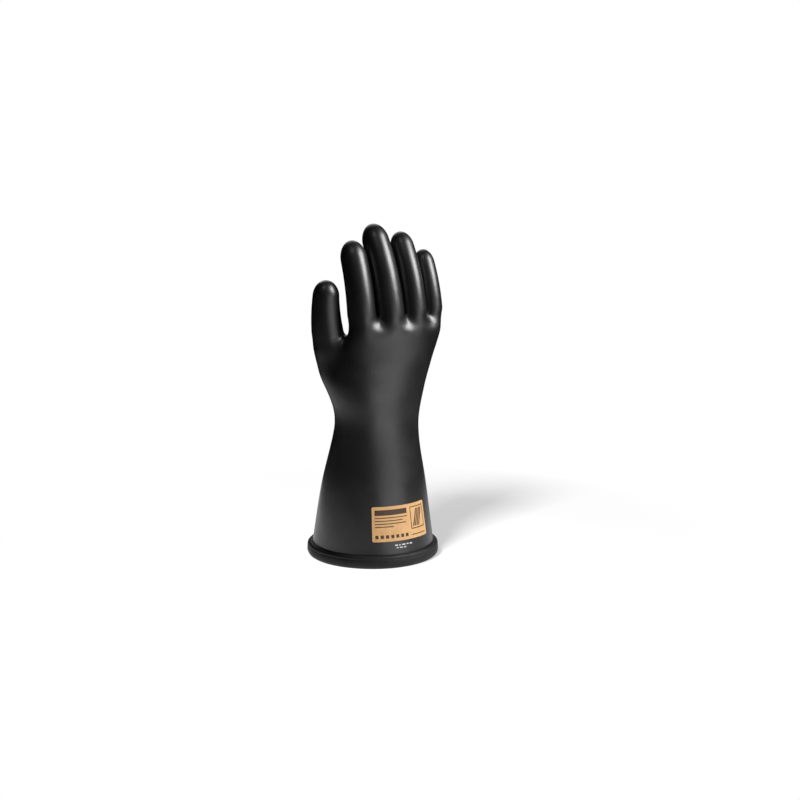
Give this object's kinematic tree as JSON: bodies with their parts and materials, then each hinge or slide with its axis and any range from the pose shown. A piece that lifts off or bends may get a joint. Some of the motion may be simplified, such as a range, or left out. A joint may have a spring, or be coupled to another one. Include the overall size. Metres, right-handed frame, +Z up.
{
  "type": "electrical insulating glove",
  "caption": "Long black rubber insulating glove for the right hand, standing on its rolled cuff, with relaxed curved fingers, a flared gauntlet and a blank printed patch.",
  "frame": {"origin": "centre of the cuff's mouth, on the plane that the bead stands on", "axes": "+Z up the arm to the fingertips, -Y to the back of the hand, -X to the thumb"},
  "size_m": [0.1463, 0.1368, 0.3409],
  "materials": {
    "rubber": "satin",
    "label": "matte"
  },
  "bodies": {
    "cuff": {"cuff_bead": "rubber", "gauntlet": "rubber", "label_patch": "label", "wrist_fold": "rubber"},
    "hand": {"palm": "rubber", "thumb_root_fold": "rubber", "index_root_fold": "rubber", "middle_root_fold": "rubber", "ring_root_fold": "rubber", "little_root_fold": "rubber"},
    "thumb_base": {"thumb_stall": "rubber", "thumb_mid_fold": "rubber"},
    "thumb_end": {"thumb_tip": "rubber"},
    "index_base": {"index_stall": "rubber", "index_mid_fold": "rubber"},
    "index_end": {"index_tip": "rubber"},
    "middle_base": {"middle_stall": "rubber", "middle_mid_fold": "rubber"},
    "middle_end": {"middle_tip": "rubber"},
    "ring_base": {"ring_stall": "rubber", "ring_mid_fold": "rubber"},
    "ring_end": {"ring_tip": "rubber"},
    "little_base": {"little_stall": "rubber", "little_mid_fold": "rubber"},
    "little_end": {"little_tip": "rubber"}
  },
  "joints": [
    {"name": "wrist_flex", "type": "hinge", "parent": "cuff", "child": "hand", "pos_m": [0.002, -0.00483, 0.136], "axis": [-1, 0, 0], "range_deg": [-25, 30], "stiffness_Nm_per_rad": 1.5, "deforming": ["wrist_fold"]},
    {"name": "thumb_root_flex", "type": "hinge", "parent": "hand", "child": "thumb_base", "pos_m": [-0.04505, 0.01324, 0.23746], "axis": [-1, 0, 0], "range_deg": [-10, 35], "stiffness_Nm_per_rad": 0.15, "deforming": ["thumb_root_fold"]},
    {"name": "thumb_mid_flex", "type": "hinge", "parent": "thumb_base", "child": "thumb_end", "pos_m": [-0.0462, 0.01366, 0.25941], "axis": [-1, 0, 0], "range_deg": [-10, 40], "stiffness_Nm_per_rad": 0.1, "deforming": ["thumb_mid_fold"]},
    {"name": "index_root_flex", "type": "hinge", "parent": "hand", "child": "index_base", "pos_m": [-0.01639, -0.00618, 0.26138], "axis": [-1, 0, 0], "range_deg": [-10, 45], "stiffness_Nm_per_rad": 0.15, "deforming": ["index_root_fold"]},
    {"name": "index_mid_flex", "type": "hinge", "parent": "index_base", "child": "index_end", "pos_m": [-0.01612, 0.00263, 0.29186], "axis": [-1, 0, 0], "range_deg": [-10, 55], "stiffness_Nm_per_rad": 0.1, "deforming": ["index_mid_fold"]},
    {"name": "middle_root_flex", "type": "hinge", "parent": "hand", "child": "middle_base", "pos_m": [0.01335, -0.01117, 0.26138], "axis": [-1, 0, 0], "range_deg": [-10, 45], "stiffness_Nm_per_rad": 0.15, "deforming": ["middle_root_fold"]},
    {"name": "middle_mid_flex", "type": "hinge", "parent": "middle_base", "child": "middle_end", "pos_m": [0.01256, 0.001, 0.29886], "axis": [-1, 0, 0], "range_deg": [-10, 55], "stiffness_Nm_per_rad": 0.1, "deforming": ["middle_mid_fold"]},
    {"name": "ring_root_flex", "type": "hinge", "parent": "hand", "child": "ring_base", "pos_m": [0.04187, -0.01115, 0.26138], "axis": [-1, 0, 0], "range_deg": [-10, 45], "stiffness_Nm_per_rad": 0.15, "deforming": ["ring_root_fold"]},
    {"name": "ring_mid_flex", "type": "hinge", "parent": "ring_base", "child": "ring_end", "pos_m": [0.04151, 0.00009, 0.29568], "axis": [-1, 0, 0], "range_deg": [-10, 55], "stiffness_Nm_per_rad": 0.1, "deforming": ["ring_mid_fold"]},
    {"name": "little_root_flex", "type": "hinge", "parent": "hand", "child": "little_base", "pos_m": [0.0669, -0.00362, 0.26137], "axis": [-1, 0, 0], "range_deg": [-10, 45], "stiffness_Nm_per_rad": 0.15, "deforming": ["little_root_fold"]},
    {"name": "little_mid_flex", "type": "hinge", "parent": "little_base", "child": "little_end", "pos_m": [0.0669, 0.00429, 0.28607], "axis": [-1, 0, 0], "range_deg": [-10, 55], "stiffness_Nm_per_rad": 0.1, "deforming": ["little_mid_fold"]}
  ]
}
